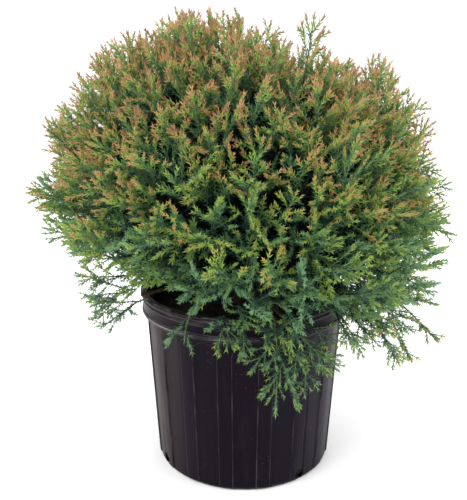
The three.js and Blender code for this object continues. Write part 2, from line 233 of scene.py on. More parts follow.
def turned_shape(name, profile, sides):
    """A filled circle, extruded ring by ring along a profile in millimetres."""
    (radius, height), *rest = profile
    circle = {"vertices": sides, "radius": radius * MM, "fill_type": "NGON"}
    bpy.ops.mesh.primitive_circle_add(location=(0, 0, height * MM), **circle)
    piece = named(name)
    apply_transform()
    bpy.ops.object.mode_set(mode="EDIT")
    bpy.ops.mesh.select_all(action="SELECT")
    for wider, higher in rest:
        lift = {"value": (0, 0, (higher - height) * MM)}
        bpy.ops.mesh.extrude_region_move(TRANSFORM_OT_translate=lift)
        share = wider / radius
        bpy.ops.transform.resize(value=(share, share, 1), center_override=(0, 0, higher * MM))
        radius, height = wider, higher
    bpy.ops.mesh.select_all(action="SELECT")
    bpy.ops.mesh.normals_make_consistent(inside=False)
    bpy.ops.object.mode_set(mode="OBJECT")
    return piece


def cylinder(name, sides, radius, depth, place, lying=False):
    """A cylinder in millimetres that stands upright, or lies along Y."""
    size = {"vertices": sides, "radius": radius * MM, "depth": depth * MM}
    turn = (math.pi / 2 if lying else 0, 0, 0)
    bpy.ops.mesh.primitive_cylinder_add(location=[c * MM for c in place], rotation=turn, **size)
    piece = named(name)
    apply_transform()
    return piece


print("one millimetre is", MM, "of Blender's units")

# %% [markdown]
# ## Pot: turning the shell
#
# The pot is blow-moulded: a tapering wall, a raised bead, a plain band and a rolled lip. It could be a
# spun outline or a lathe curve. Here a filled circle is extruded ring by ring, up the outside, over the
# lip and down the inside, which is easy to follow and closes itself at the inner floor.

# %% The pot's shell
POT_SIDES = 224
POT_HEIGHT, LIP_RADIUS, LIP_WIDTH, LIP_DEPTH = 240, 140, 8.5, 7
BASE_RADIUS, WALL_TOP_RADIUS, WALL_TOP, WALL = 120.5, 132.5, 207, 2.6
BAND_RADIUS, BEAD_RADIUS, BEAD_Z, BEAD_HALF = 137, 138.5, 214, 2.5
BAND_RIDGE = ((0, 6), (0.9, 5.2), (0.9, 3.4), (0, 2.6), (0, 0))
LIP_GROOVE = ((0.5, 0), (0.55, 1.2), (0.7, 1.2), (0.75, 0), (1, 1), (1, LIP_DEPTH))


def wall_radius(height):
    return BASE_RADIUS + (WALL_TOP_RADIUS - BASE_RADIUS) * height / WALL_TOP


LIP_UNDER = POT_HEIGHT - LIP_DEPTH
OUTSIDE = [
    (BASE_RADIUS - 4, 0),
    (wall_radius(4), 4),
    (WALL_TOP_RADIUS, WALL_TOP),
    (BAND_RADIUS - 0.6, BEAD_Z - 2 * BEAD_HALF),
    (BEAD_RADIUS, BEAD_Z - BEAD_HALF),
    (BEAD_RADIUS, BEAD_Z + BEAD_HALF * 0.4),
    (BAND_RADIUS, BEAD_Z + BEAD_HALF),
    *[(BAND_RADIUS + out, LIP_UNDER - down) for out, down in BAND_RIDGE],
    (LIP_RADIUS, LIP_UNDER + 1.5),
    (LIP_RADIUS, POT_HEIGHT - 2),
    (LIP_RADIUS - 2, POT_HEIGHT),
]
INSIDE = [
    *[(LIP_RADIUS - LIP_WIDTH * share, POT_HEIGHT - down) for share, down in LIP_GROOVE],
    (WALL_TOP_RADIUS - WALL, WALL_TOP),
    (BASE_RADIUS - WALL, WALL),
]
pot = turned_shape("pot_moulding", OUTSIDE + INSIDE, POT_SIDES)
print("pot shell has", len(pot.data.polygons), "faces")

# %% [markdown]
# ## Pot: the arched panels and the drain holes
#
# Sixteen shallow panels with arched heads stiffen the thin wall. A texture could fake them, but a real
# recess also shows at the outline. So an arch is modelled once, copied round the axis, cut back to the
# wall's outer skin, and taken out of the pot. The four drain holes are cut by plain cylinders.

# %% Panels
PANELS, PANEL_DEGREES, PANEL_TOP, PANEL_DEPTH = 16, 14.2, 204, 1.3
ARCH_OUT, ARCH_LENGTH, ARCH_FOOT = 140, 60, -4
RING_RADIUS, RING_HEIGHT, RING_MIDDLE = 148, 212, 103


def copies_round(piece, count, first_degrees=0.0):
    """Copies of a shape, evenly spaced about the pot's axis and joined into one mesh."""
    copies = []
    for i in range(count):
        copy = piece.copy()
        copy.data = piece.data.copy()
        bpy.context.collection.objects.link(copy)
        copy.rotation_euler.z = math.radians(first_degrees + 360 * i / count)
        copies.append(copy)
    bpy.data.objects.remove(piece)
    select_only(copies[0])
    for copy in copies:
        copy.select_set(True)
    apply_transform()
    bpy.ops.object.join()
    return copies[0]


def arch_cutter():
    half = WALL_TOP_RADIUS * math.sin(math.radians(PANEL_DEGREES / 2))
    middle = PANEL_TOP - half
    arch = cylinder("arch_cutter", 48, half, ARCH_LENGTH, (0, -ARCH_OUT, middle), lying=True)
    for corner in arch.data.vertices:
        if corner.co.z < (middle - 0.01) * MM:
            corner.co.z = ARCH_FOOT * MM
            corner.co.x *= BASE_RADIUS / WALL_TOP_RADIUS
    return arch


def cut(piece, tool, operation):
    apply_modifier(piece, "BOOLEAN", operation=operation, object=tool, solver="EXACT")
    bpy.data.objects.remove(tool)
    select_only(piece)


arches = copies_round(arch_cutter(), PANELS)
outer = cylinder("skin_ring", POT_SIDES, RING_RADIUS, RING_HEIGHT, (0, 0, RING_MIDDLE))
inner_profile = [(wall_radius(height) - PANEL_DEPTH, height) for height in (-10, 220)]
cut(outer, turned_shape("skin_core", inner_profile, POT_SIDES), "DIFFERENCE")
cut(arches, outer, "INTERSECT")
cut(pot, arches, "DIFFERENCE")
print("pot with panels has", len(pot.data.polygons), "faces")

# %% Drain holes
HOLE_BEARINGS, HOLE_RADIUS, HOLE_Z, HOLE_LENGTH = (36.5, -60.5), 7.6, 9.4, 16
MERGE_DISTANCE = 0.25

for turn in HOLE_BEARINGS:
    hole = cylinder("hole_cutter", 32, HOLE_RADIUS, HOLE_LENGTH, (0, -BASE_RADIUS, HOLE_Z), lying=True)
    cut(pot, copies_round(hole, 2, turn), "DIFFERENCE")
bpy.ops.object.mode_set(mode="EDIT")
bpy.ops.mesh.select_all(action="SELECT")
bpy.ops.mesh.remove_doubles(threshold=MERGE_DISTANCE * MM)
bpy.ops.mesh.normals_make_consistent(inside=False)
bpy.ops.object.mode_set(mode="OBJECT")
print("drain holes:", 2 * len(HOLE_BEARINGS))

# %% [markdown]
# ## Pot: worn black plastic with a painted sheen
#
# Recycled polythene is never a clean black. It is a brownish purple black with a satin skin, and its
# raised rings carry pale scuffs from handling. A lighter brown sheen is painted onto the wall's left
# side. An image could hold all this, but it has to be painted first. Noise needs no painting: the
# scuffs are a noise that is only let through near the bead, the lip and the foot.

# %% Worn plastic
SHEEN_SIDE, SHEEN_SIDE_END = -0.125, -0.05


def worn_plastic_and_sheen():
    recipe = Recipe("worn_black_plastic_and_sheen", (0.01, 0.008, 0.01), 0.36, Specular_IOR_Level=0.14)
    recipe.set("Specular Tint", (1.0, 0.82, 0.97, 1))
    place, height = recipe.place(), recipe.axis("Z")
    # Painted sheen: 1 on the far left of the wall, fading to 0 towards the middle.
    painted_sheen = 1 - recipe.step(recipe.axis("X"), SHEEN_SIDE, SHEEN_SIDE_END)
    cloudy = recipe.noise(place, 26, 5)
    streaks = recipe.noise(recipe.stretched(place, (160, 160, 9)), 1.0, 3)
    scratches = recipe.noise(recipe.stretched(place, (45, 45, 1100)), 1.0, 3, 0.75)
    grit = recipe.node("ShaderNodeTexVoronoi", "Distance", {"Vector": place, "Scale": 210})
    patches = recipe.step(recipe.noise(place, 45, 3), 0.5, 0.66)
    specks = (1 - recipe.step(grit, 0.07, 0.2)) * patches

    def near(level, reach):
        above = recipe.step(height, (level - reach) * MM, level * MM)
        return above * (1 - recipe.step(height, level * MM, (level + reach) * MM))

    rings = near(BEAD_Z, 4) + near(LIP_UNDER + 1, 3) + near(POT_HEIGHT, 3) * 0.8 + near(1, 5) * 0.5
    scuffed = recipe.step(scratches * 0.6 + cloudy * 0.6, 0.57, 0.7) * rings
    dust = recipe.step(streaks * 0.6 + cloudy * 0.5, 0.5, 0.85) * 0.5
    # The left side is mixed towards a lighter brown: a painted sheen.
    dark = recipe.mix(painted_sheen, (0.004, 0.0022, 0.007), (0.016, 0.0085, 0.0085))
    tinted = recipe.mix(dust, dark, (0.021, 0.0135, 0.019))
    marked = recipe.mix(specks * 0.5, tinted, (0.16, 0.13, 0.13))
    recipe.set("Base Color", recipe.mix(scuffed * 0.8, marked, (0.4, 0.37, 0.38)))
    recipe.set("Roughness", 0.33 + cloudy * 0.12 + dust * 0.14 + scuffed * 0.2)
    recipe.bump(recipe.noise(place, 900, 2, 0.7) * 0.35 + cloudy, 0.00012)
    return recipe.material


dress(pot, worn_plastic_and_sheen())
print("the pot's walls:", pot.data.materials[0].name)

# %% [markdown]
# ## Pot: rounded edges with a painted highlight
#
# A moulded edge is never sharp, and on this pot the rounded edges show as pale lines. Such lines could
# be painted in. Here a bevel rounds every edge and gives its faces a second, paler material, a painted
# highlight that follows the moulding by itself.

# %% Rounded edges
EDGE_WIDTH, EDGE_ANGLE, SMOOTH_ANGLE = 0.7, 28, 40


def painted_edge_highlight():
    recipe = Recipe("painted_edge_highlight", (0.028, 0.023, 0.029), 0.45, Specular_IOR_Level=0.2)
    highlight_patches = recipe.step(recipe.noise(recipe.place(), 30, 4), 0.4, 0.65)
    # Painted highlight: the bevel's faces are paler than the wall, more so in patches.
    recipe.set("Base Color", recipe.mix(highlight_patches, (0.014, 0.011, 0.016), (0.055, 0.045, 0.057)))
    return recipe.material


pot.data.materials.append(painted_edge_highlight())
# The bevel's new faces take the second material, the painted highlight.
edges = {"limit_method": "ANGLE", "angle_limit": math.radians(EDGE_ANGLE), "material": 1}
apply_modifier(pot, "BEVEL", width=EDGE_WIDTH * MM, segments=2, use_clamp_overlap=False, **edges)
for corner in pot.data.vertices:
    corner.co.z = max(corner.co.z, 0)
select_only(pot)
bpy.ops.object.shade_smooth_by_angle(angle=math.radians(SMOOTH_ANGLE))
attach(pot, "root")
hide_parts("pot")
print("pot moulding has", len(pot.data.polygons), "faces")

# %% [markdown]
# ## Potting mix
#
# Under the crown the pot is full of coarse bark and peat. It could be a heap of modelled chips, but
# hardly any of it shows. A turned cake is enough, with crumbs pushed into its top by a cloud texture
# and paler, drier bits in its colour.

# %% Potting mix
SOIL_TOP, SOIL_MOUND, SOIL_RINGS, SOIL_CLOSES, GAP = 214, 5, 14, 0.94, 0.3


def potting_mix():
    edge_z = SOIL_TOP - SOIL_MOUND
    inner = wall_radius(edge_z) - WALL - GAP
    floor_z = WALL + GAP
    foot = wall_radius(0) - WALL - GAP
    profile = [(foot - 5, floor_z), (foot, floor_z + 5), (inner, edge_z)]
    for share in np.arange(1, SOIL_RINGS) / SOIL_RINGS:
        profile.append((inner * (1 - SOIL_CLOSES * share), edge_z + SOIL_MOUND * share))
    cake = turned_shape("potting_mix", profile, 96)
    rough = bpy.data.textures.new("crumbs", "CLOUDS")
    rough.noise_scale = 0.006
    cake.vertex_groups.new(name="top")
    top = [v.index for v in cake.data.vertices if v.co.z > (edge_z + 0.5) * MM]
    cake.vertex_groups["top"].add(top, 1.0, "REPLACE")
    settings = {"strength": 0.005, "mid_level": 0.5, "vertex_group": "top", "texture_coords": "LOCAL"}
    apply_modifier(cake, "DISPLACE", texture=rough, **settings)
    recipe = Recipe("damp_bark_mix", (0.03, 0.02, 0.014), 0.9)
    grain = recipe.noise(recipe.place(), 220, 6, 0.7)
    chips = recipe.step(grain, 0.4, 0.7) * recipe.step(recipe.axis("Z"), 0.02, 0.2)
    recipe.set("Base Color", recipe.mix(chips, (0.006, 0.004, 0.003), (0.06, 0.038, 0.026)))
    recipe.bump(grain, 0.002)
    dress(cake, recipe.material)
    return cake


soil = potting_mix()
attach(soil, "root")
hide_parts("soil")
print("potting mix has", len(soil.data.polygons), "faces")

# %% [markdown]
# ## How the plant grows
#
# A globe conifer grows outwards from its heart, evenly and a little upwards. There are too many twigs
# to model by hand. So a function says how far the crown reaches in any direction, and directions are
# spread evenly by turning through the golden angle. A seeded rule gives the chance in it, so the plant
# is the same each time. All lengths are in millimetres until the very end.

# %% The growth rule
HEART = np.array((7.0, 0.0, 345.0))
CROWN_RADIUS, CROWN_UP, CROWN_DOWN, SQUARENESS, SKEW = 272, 250, 150, 2.15, 0.12
HOLLOW_RADIUS, HOLLOW_UP, HOLLOW_DOWN = 156, 138, 420
UP = np.array((0.0, 0.0, 1.0))


class Seeded:
    """The same short rule gives the same numbers in any language."""

    def __init__(self, seed):
        self.state = seed & 0xFFFFFFFF

    def __call__(self, low=0.0, high=1.0):
        self.state = (self.state * 1664525 + 1013904223) & 0xFFFFFFFF
        return low + (high - low) * self.state / 4294967296


def unit(vector):
    vector = np.asarray(vector, float)
    return vector / np.linalg.norm(vector, axis=-1, keepdims=True)


def crown_reach(way):
    level = np.hypot(way[0], way[1]) / CROWN_RADIUS
    steep = abs(way[2]) / (CROWN_UP if way[2] > 0 else CROWN_DOWN)
    even = (level**SQUARENESS + steep**SQUARENESS) ** (-1 / SQUARENESS)
    return even * (1 - SKEW * way[0] * way[2])


def crown_point(way, share):
    return HEART + way * crown_reach(way) * share


def hollow_reach(way):
    level = np.hypot(way[0], way[1]) / HOLLOW_RADIUS
    return 1 / np.hypot(level, way[2] / (HOLLOW_UP if way[2] > 0 else HOLLOW_DOWN))


def square_to(way, turn):
    """Directions square to the given ones, turned about them."""
    way, turn = np.atleast_2d(way), np.reshape(turn, (-1, 1))
    guide = np.where(np.abs(way[:, 2:]) < 0.9, UP, (1.0, 0.0, 0.0))
    side = unit(np.cross(guide, way))
    return side * np.cos(turn) + np.cross(way, side) * np.sin(turn)


def golden_directions(count, lowest):
    """Directions spread evenly from the top down, turning by the golden angle."""
    index = np.arange(count)
    turn = math.pi * (3 - math.sqrt(5)) * index
    height = 1 - (index + 0.5) / count * (1 - lowest)
    level = np.sqrt(1 - height**2)
    return np.stack([level * np.sin(turn), -level * np.cos(turn), height], axis=1)


def smooth(value, low, high):
    share = np.clip((value - low) / (high - low), 0, 1)
    return share * share * (3 - 2 * share)


def bearing(degrees):
    return np.array((math.sin(math.radians(degrees)), -math.cos(math.radians(degrees)), 0.0))


print("reach to the right", round(crown_reach(bearing(90))), "mm, to the top", round(crown_reach(UP)), "mm")

# %% [markdown]
# ## Needles, scales and sticks
#
# Look closely at a shoot and there are three things: thin twigs, soft awl-shaped needles that stand
# out from the older wood, and blunt finger-like tips where short scales lie close. A leaf could be a
# picture on a flat card. Here a needle and a scale are both a three-sided pyramid, which costs only
# three faces and looks right from every side.

# %% Needles, scales and sticks
NEEDLE_FACES = np.array(((0, 1, 3), (1, 2, 3), (2, 0, 3)))
STICK_FACES = np.array(((0, 1, 4), (0, 4, 3), (1, 2, 5), (1, 5, 4), (2, 0, 3), (2, 3, 5)))
THIRDS = np.array((0, 2 * math.pi / 3, 4 * math.pi / 3))


def needles(roots, ways, lengths, widths, turns):
    """One pyramid for each row: three corners round its root, and its tip."""
    side = square_to(ways, turns)
    other = np.cross(ways, side)
    half = np.reshape(widths, (-1, 1)) / 2
    corners = [roots + half * (math.cos(a) * side + math.sin(a) * other) for a in THIRDS]
    return np.stack([*corners, roots + ways * np.reshape(lengths, (-1, 1))], axis=1)


def sticks(starts, ends, start_radii, end_radii):
    """One open three-sided stick for each row."""
    ways = unit(ends - starts)
    side = square_to(ways, np.zeros(len(ways)))
    other = np.cross(ways, side)
    rings = []
    for centre, radius in ((starts, start_radii), (ends, end_radii)):
        radius = np.reshape(radius, (-1, 1))
        rings += [centre + radius * (math.cos(a) * side + math.sin(a) * other) for a in THIRDS]
    return np.stack(rings, axis=1)


class Shoot:
    """A shoot's axis: it starts somewhere, points somewhere and curls as it grows."""

    def __init__(self, start, way, length, curl, age, radius):
        self.start, self.way, self.curl = np.array(start), unit(way), np.array(curl)
        self.length, self.age, self.radius = length, age, radius

    def point(self, share):
        return self.start + self.length * (self.way * share + self.curl * share**2)

    def heading(self, share):
        return unit(self.way + 2 * self.curl * share)


print("faces in a needle or scale:", len(NEEDLE_FACES), "and in a stick:", len(STICK_FACES))

# %% [markdown]
# ## Clothing a shoot
#
# Needles stand in pairs, each pair turned a quarter from the last, and give way to close scales near
# the tip. A particle system could strew them, but it knows nothing of pairs. A walk along the shoot in
# short steps does, and two leaves are noted down at each.

# %% Clothe a shoot
NEEDLE_LENGTH, NEEDLE_WIDTH, NEEDLE_SPACING, NEEDLE_ANGLE, NEEDLE_CLOSING = 8.2, 1.45, 3.2, 58, 16
SCALE_LENGTH, SCALE_WIDTH, SCALE_SPACING, SCALE_ANGLE, SCALE_OPENING = 6.6, 2.5, 2.7, 20, 22
FINGER, MOST_FINGER, TWIG_TIP = 15, 0.7, 0.45


class Spray:
    """Rows of needles, scales and sticks, with the age of each: 0 at the root and 1 at the tips."""

    def __init__(self, coarseness, finger):
        self.rows = {"needle": [], "scale": [], "stick": []}
        self.coarseness, self.finger = coarseness, finger

    def clothe(self, shoot, random, bare_until=0.0):
        """Needles in crossed pairs along the older wood, then close scales round the tip."""
        finger = min(self.finger, shoot.length * MOST_FINGER)
        travelled, turn = shoot.length * bare_until, random(0, 6)
        while travelled < shoot.length - finger:
            share = travelled / shoot.length
            young = shoot.age + (1 - shoot.age) * share
            angle = NEEDLE_ANGLE - NEEDLE_CLOSING * young
            for half_turn in (0, math.pi):
                self._leaf("needle", shoot, share, turn + half_turn, angle, young, random)
            travelled += NEEDLE_SPACING * self.coarseness * random(0.85, 1.15)
            turn += math.pi / 2 + random(-0.3, 0.3)
        while travelled < shoot.length:
            share = travelled / shoot.length
            left = (shoot.length - travelled) / finger
            angle = SCALE_ANGLE + SCALE_OPENING * left
            for half_turn in (0, math.pi):
                self._leaf("scale", shoot, share, turn + half_turn, angle, left, random)
            travelled += SCALE_SPACING
            turn += math.pi / 2

    def _leaf(self, kind, shoot, share, turn, angle, mark, random):
        heading = shoot.heading(share)
        out = square_to(heading, turn)[0]
        lean = math.radians(angle + random(-7, 7))
        way = heading * math.cos(lean) + out * math.sin(lean)
        if kind == "needle":
            size = self.coarseness**0.8
            length = NEEDLE_LENGTH * (1.12 - 0.42 * mark) * random(0.85, 1.12) * size
            width = NEEDLE_WIDTH * size
        else:
            length, width = SCALE_LENGTH * (0.7 + 0.3 * mark), SCALE_WIDTH * (0.7 + 0.3 * mark)
        self.rows[kind].append((shoot.point(share) + out * 0.35, way, length, width, turn, mark))

    def stick(self, shoot, pieces):
        for i in range(pieces):
            a, b = i / pieces, (i + 1) / pieces
            radii = [shoot.radius + (TWIG_TIP - shoot.radius) * share for share in (a, b)]
            age = shoot.age + (1 - shoot.age) * a
            self.rows["stick"].append((shoot.point(a), shoot.point(b * 0.99), *radii, age))

    def arrays(self):
        """The corners of every shape, kind by kind, with the shapes' ages."""
        made = {}
        for kind, shape in (("needle", needles), ("scale", needles), ("stick", sticks)):
            if self.rows[kind]:
                *columns, ages = [np.array(column) for column in zip(*self.rows[kind])]
                made[kind] = (shape(*columns), ages)
        return made


print("a finger of scales is", FINGER, "mm long")

# %% [markdown]
# ## Growing a spray
#
# A spray is a main shoot with side shoots left and right, and the longer of those fork once more. One
# could be drawn by hand, but its copies would show. A rule with a seed grows as many different ones as
# are wanted. A few are enough, because each is turned and scaled every time it is used.

# %% Grow the sprays
SPRAY_LENGTH, INNER_COARSENESS = 84, 2.3
FIRST_SIDE, LAST_SIDE, SHORTEST_SIDE, SIDE_LEAN = 0.24, 0.9, 12, (28, 48)
FORKS_FROM, FORK_PLACE, FORK_LENGTH, FORK_LEAN = 21, (0.45, 0.66), (10, 16), 0.6


def grow_spray(seed, length, side_shoots, longest_side, coarseness=1.0, finger=FINGER):
    random = Seeded(seed)
    spray = Spray(coarseness, finger)
    main = Shoot((0, 0, 0), UP, length, (random(-0.25, 0.25), random(-0.15, 0.15), 0), 0.0, 1.1)
    spray.stick(main, 3)
    spray.clothe(main, random, bare_until=0.1)
    for k in range(side_shoots):
        along = (k + random(0.1, 0.6)) / side_shoots
        share = FIRST_SIDE + (LAST_SIDE - FIRST_SIDE) * along
        side = (1 if k % 2 else -1) * math.cos(random(-0.5, 0.5))
        out = unit((side, random(-1.1, 1.1), 0))
        lean = math.radians(random(*SIDE_LEAN))
        way = main.heading(share) * math.cos(lean) + out * math.sin(lean)
        reach = (longest_side + (SHORTEST_SIDE - longest_side) * along) * random(0.8, 1.2)
        shoot = Shoot(main.point(share), way, reach, UP * random(0.05, 0.25), 0.25 + 0.5 * share, 0.7)
        forks = reach > FORKS_FROM and coarseness <= 1
        spray.stick(shoot, 2 if forks else 1)
        spray.clothe(shoot, random, bare_until=0.04)
        if forks:
            fork_at = random(*FORK_PLACE)
            ahead = shoot.heading(fork_at)
            fork_way = ahead - FORK_LEAN * side * unit(np.cross(ahead, (0, 1, 0)))
            fork = Shoot(shoot.point(fork_at), fork_way, random(*FORK_LENGTH), UP * 0.05, 0.7, 0.55)
            spray.stick(fork, 1)
            spray.clothe(fork, random)
    return spray.arrays()


PATTERNS = {
    "crown": [grow_spray(300 + k, SPRAY_LENGTH, 6, 37) for k in range(10)],
    "hanging": [grow_spray(350 + k, 62, 5, 27, 0.82, 7) for k in range(5)],
    "short": [grow_spray(370 + k, 36, 3, 16, 0.82, 7) for k in range(3)],
    "inner": [grow_spray(400 + k, SPRAY_LENGTH, 6, 34, INNER_COARSENESS, 0) for k in range(4)],
}
for kind in ("needle", "scale", "stick"):
    counts = [len(pattern[kind][0]) for pattern in PATTERNS["crown"]]
    print(f"{kind}s in one crown spray:", round(np.mean(counts)))

# %% [markdown]
# ## The crown's own shape
#
# No plant is a perfect globe. This one bulges here, dips there, and is open enough at its lower right
# to be seen through. It could be sculpted. It is simpler to say how far the tips stay inside the even
# form and how low they may hang, because the sprays then fill the new form by themselves.

# %% Dents, bulges and the underside
KEEP_OUT_RADIUS, KEEP_OUT_TOP = 149, 252
CROWN_FLOOR, FRONT_RISE, FRONT_BEARING = 262, 20, -35
RIGHT_FALL, RIGHT_BEARING, OPEN_MOST, OPEN_HEIGHTS = 24, 85, 0.75, (265, 335)
INSET, INSET_TOP, INSET_RIGHT, INSET_LEFT, INSET_LOW_LEFT = 4, 17, 8, -2, 76
BULGE_EDGE = 0.88
BULGES = {
    (-0.42, 0.91): 18,
    (0.3, 0.95): -26,
    (0.77, 0.64): 20,
    (-0.87, 0.5): -8,
    (0.9, -0.4): -16,
    (0.94, 0.34): -20,
}


def clear_of_pot(*points):
    return all(np.hypot(p[0], p[1]) > KEEP_OUT_RADIUS or p[2] > KEEP_OUT_TOP for p in points)


def faces_bearing(point, degrees, edge, full):
    """1 where a point lies at a bearing, 0 far from it, and a smooth change between."""
    return smooth(np.dot(unit((point[0], point[1], 0.0)), bearing(degrees)), edge, full)


def crown_floor(point, depth):
    """The underside rises in front on the left, where the rim shows. On the right it hangs lower."""
    rise = FRONT_RISE * faces_bearing(point, FRONT_BEARING, 0.75, 0.95)
    return CROWN_FLOOR + rise - RIGHT_FALL * (depth == 0) * faces_bearing(point, RIGHT_BEARING, 0.6, 0.9)


def open_share(tip):
    """The share of the sprays that is left out, low on the right, so that light comes through."""
    return OPEN_MOST * faces_bearing(tip, RIGHT_BEARING, 0.75, 0.95) * (1 - smooth(tip[2], *OPEN_HEIGHTS))


def crown_inset(way):
    """How far the tips stay inside the even form: less where the crown bulges, more where it dips."""
    right, left, over, under = (max(part, 0) for part in (way[0], -way[0], way[2], -way[2]))
    sides = INSET_RIGHT * right + INSET_LEFT * left + INSET_LOW_LEFT * left * smooth(under, 0, 0.25)
    bulge = 0
    for (x, z), height in BULGES.items():
        bulge += height * smooth(np.dot(way, unit((x, 0, z))), BULGE_EDGE, 1)
    return INSET + INSET_TOP * over + sides - bulge


print("tips at the top stay in by", round(crown_inset(UP), 1), "mm")

# %% [markdown]
# ## Where the sprays stand
#
# The outermost of four layers reaches the crown's edge, with a few stragglers beyond it, as on any
# plant that hasn't been clipped. The second stands a little lower, in duller tones that paint in shade,
# and the last two are old growth that closes the view, coloured dark as painted shade. One even thicket
# would do, but its hidden sprays would cost as many faces as those that show. Sprays that would stand
# inside the pot are left out.

# %% Place the crown's sprays
UPWARD, SIDEWAYS, WANDER = 0.4, 0.6, 0.05
STRAGGLER, STRAGGLER_ODDS, LONG_STRAGGLER, LONG_ODDS = 0.05, 0.22, 0.08, 0.06
SUN, SUN_HEIGHTS = 5, (270, 360)
SHADES, LOW_SHADE, SHADE_HEIGHTS = (0, 0.7, 0), 0.62, (270, 420)
# Each layer: how many, the lowest way out, share of the reach, seed, size and depth.
LAYERS = [
    (1120, -0.72, (0.9, 1.0), 11, (0.8, 1.05), 0),
    (350, -0.7, (0.76, 0.86), 12, (0.8, 1.0), 1),
    (430, -0.75, (0.6, 0.82), 13, (0.9, 1.2), 2),
    (200, -0.7, (0.4, 0.55), 14, (0.9, 1.2), 2),
]


def spray_row(random, root, way, scale, most_lift, **rest):
    """One spray: where it stands, how it is turned and bent, and how well it has fared."""
    row = {"root": root, "way": way, "scale": scale, "turn": random(0, 2 * math.pi)}
    return {**row, "lift": random(-0.05, most_lift), "luck": random(), **rest}


def crown_sprays(count, lowest, share, seed, size, depth):
    random = Seeded(seed)
    placed = []
    for way_out in golden_directions(count, lowest):
        reach = random(*share)
        if depth == 0:
            reach += STRAGGLER * (random() < STRAGGLER_ODDS) + LONG_STRAGGLER * (random() < LONG_ODDS)
        direction = unit(way_out + WANDER * np.array([random(-1, 1) for axis in range(3)]))
        aside = square_to(direction, random(0, 2 * math.pi))[0] * SIDEWAYS * random()
        lifting = UPWARD * (0.6 + 0.7 * direction[2])
        heading = unit(direction + UP * lifting + aside)
        scale = random(*size)
        tip = crown_point(direction, reach) - direction * crown_inset(direction)
        root = tip - heading * SPRAY_LENGTH * scale
        if clear_of_pot(tip, root, (tip + root) / 2) and tip[2] > crown_floor(tip, depth):
            shade = SHADES[depth] + LOW_SHADE * (1 - smooth(tip[2], *SHADE_HEIGHTS))
            sun = SUN * max(reach - 1, 0) * smooth(tip[2], *SUN_HEIGHTS)
            light = {"shade": shade, "sun": sun, "depth": depth}
            pattern = "inner" if depth == 2 else "crown"
            row = spray_row(random, root, heading, scale, 0.12, pattern=pattern, **light)
            if row["luck"] > open_share(tip):
                placed.append(row)
    return placed


sprays = [spray for layer in LAYERS for spray in crown_sprays(*layer)]
print("sprays in the crown:", len(sprays))

# %% [markdown]
# ## The skirt
#
# Longer stems have grown past the lip and hang over it. Most hang in front, to the right, and some
# droop at the far right, where their tips have warmed. Sprays of the crown could be pulled down, but
# these grow otherwise: each is an arching stem with sprays on either side. So a stem is a Bezier curve
# over the rim, and a fan of stems stands for each hanging mass of the model.

# %% Place the skirt's sprays
# Each hanging mass: its bearing, reach, lowest point, droop and warmth.
SKIRT = [
    (-104, 236, 216, 1.1, 0.2),
    (-63, 212, 212, 1.1, 0.2),
    (-25, 180, 184, 1.1, 0.2),
    (16, 188, 130, 1.1, 0.45),
    (60, 244, 158, 0.6, 0.6),
    (104, 266, 164, 0.4, 0.75),
    (154, 230, 184, 1.1, 0.2),
    (-152, 232, 196, 1.1, 0.2),
]
SKIRT_RADIUS, SKIRT_Z, STEM_OUT, STEM_DOWN = 147, 247, (0, 0.35, 0.55, 0.7), (0, 0, 0.2, 0.6)
SKIRT_TWIGS, SKIRT_SPRAY, SKIRT_SHADE = 7, 60, 0.85
# Each stem of a fan: its turn from the mass's bearing, the share of its drop, and its size.
FANS = [
    ((-7, 0.12, 0.5), (6, 0.2, 0.6)),
    ((-9, 0.5, 0.8), (8, 0.4, 0.6)),
    ((0, 0.8, 0.3),),
    ((-26, 0.05, 0.3), (-18, 0.08, 0.3), (-4, 0.64, 0.7), (1, 0.7, 0.8), (8, 0.5, 0.7)),
    ((-19, 0.1, 0.7), (-12, 0.14, 0.8), (-3, 0.4, 0.8), (9, 0.6, 0.7)),
    ((-16, 0.72, 0.7), (-3, 0.9, 0.7), (10, 0.9, 0.8)),
    ((-9, 0.9, 1.0), (8, 1.0, 1.0)),
    ((-9, 1.0, 1.0), (8, 0.8, 1.0)),
]


def bezier(corners, share):
    a, b, c, d = corners
    rest = 1 - share
    return a * rest**3 + 3 * b * rest**2 * share + 3 * c * rest * share**2 + d * share**3


def bezier_way(corners, share):
    return unit(bezier(corners, share) - bezier(corners, share - 0.02))


def skirt_corners(degrees, reach, low, depth=1.0):
    """The hanging stem leaves over the rim, runs outwards and bends down."""
    out, drop = bearing(degrees), (SKIRT_Z - low) * depth
    overhang = (reach - SKIRT_RADIUS) * math.sqrt(depth)
    radii = [SKIRT_RADIUS + overhang * share for share in STEM_OUT]
    heights = [SKIRT_Z - drop * share for share in STEM_DOWN]
    return [out * radius + UP * height for radius, height in zip(radii, heights)]


def skirt_sprays(corners, size, seed, low, droop, warmth):
    """Sprays on alternate sides of one hanging stem, and one that carries on from its end."""
    random = Seeded(seed)
    sideways = unit(np.cross(UP, corners[0] * (1, 1, 0)))
    placed = []
    twigs = max(3, round(SKIRT_TWIGS * size))
    for k in range(twigs):
        share = 0.04 + 0.96 * (k + 1) / twigs
        foot = bezier(corners, share)
        side = 0 if k == twigs - 1 else (1 if k % 2 else -1) * random(0.4, 0.95) * min(1, size + 0.2)
        falling = 0.6 - droop * share + random(-0.2, 0.2)
        way = unit(bezier_way(corners, share) + sideways * side + UP * falling)
        scale = random(0.85, 1.15)
        tip = foot + way * SKIRT_SPRAY * scale
        if clear_of_pot(tip) and tip[2] > low - 6:
            light = {"shade": SKIRT_SHADE, "sun": warmth, "depth": 0}
            pattern = "short" if size < 0.6 else "hanging"
            placed.append(spray_row(random, foot, way, scale, 0.2, pattern=pattern, **light))
    return placed


